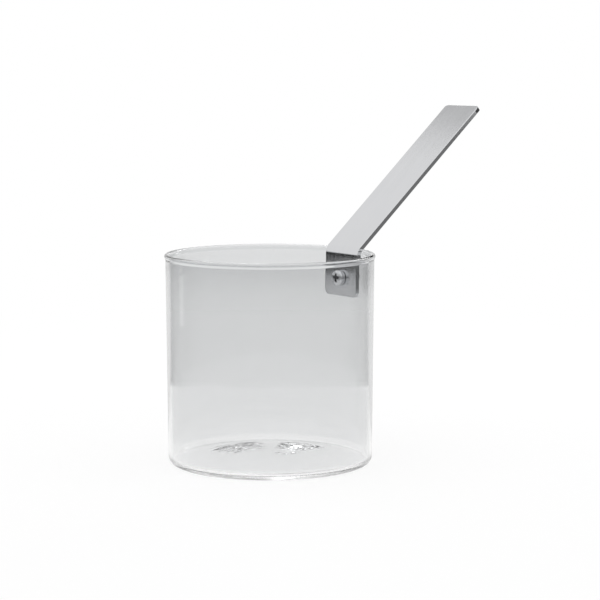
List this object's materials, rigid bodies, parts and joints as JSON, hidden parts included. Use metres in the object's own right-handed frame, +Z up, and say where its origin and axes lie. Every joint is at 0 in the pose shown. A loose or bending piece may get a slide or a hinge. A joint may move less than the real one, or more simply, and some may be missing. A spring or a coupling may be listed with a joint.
{
  "type": "milk pan",
  "caption": "Straight-sided clear glass pan for warming milk, with a flat brushed steel strip handle bent over the rim and held by a screw through the wall.",
  "frame": {"origin": "centre of the pan's flat underside, on the axis of the glass", "axes": "+Z up along the axis of the glass, +X out through the screw towards the handle, +Y across the strip"},
  "size_m": [0.205, 0.12, 0.2015],
  "materials": {
    "clear_glass": "clear borosilicate glass, polished by fire",
    "brushed_steel": "stainless steel, brushed along the strip",
    "polished_steel": "stainless steel, polished",
    "silicone": "natural silicone rubber, matte and milky"
  },
  "bodies": {
    "root": {"glass_vessel": "clear_glass", "strip_handle": "brushed_steel", "pan_head_screw": "polished_steel", "inner_spacer": "silicone", "hole_sleeve": "silicone", "outer_gasket": "silicone", "flat_washer": "polished_steel", "hex_nut": "polished_steel"}
  },
  "joints": []
}
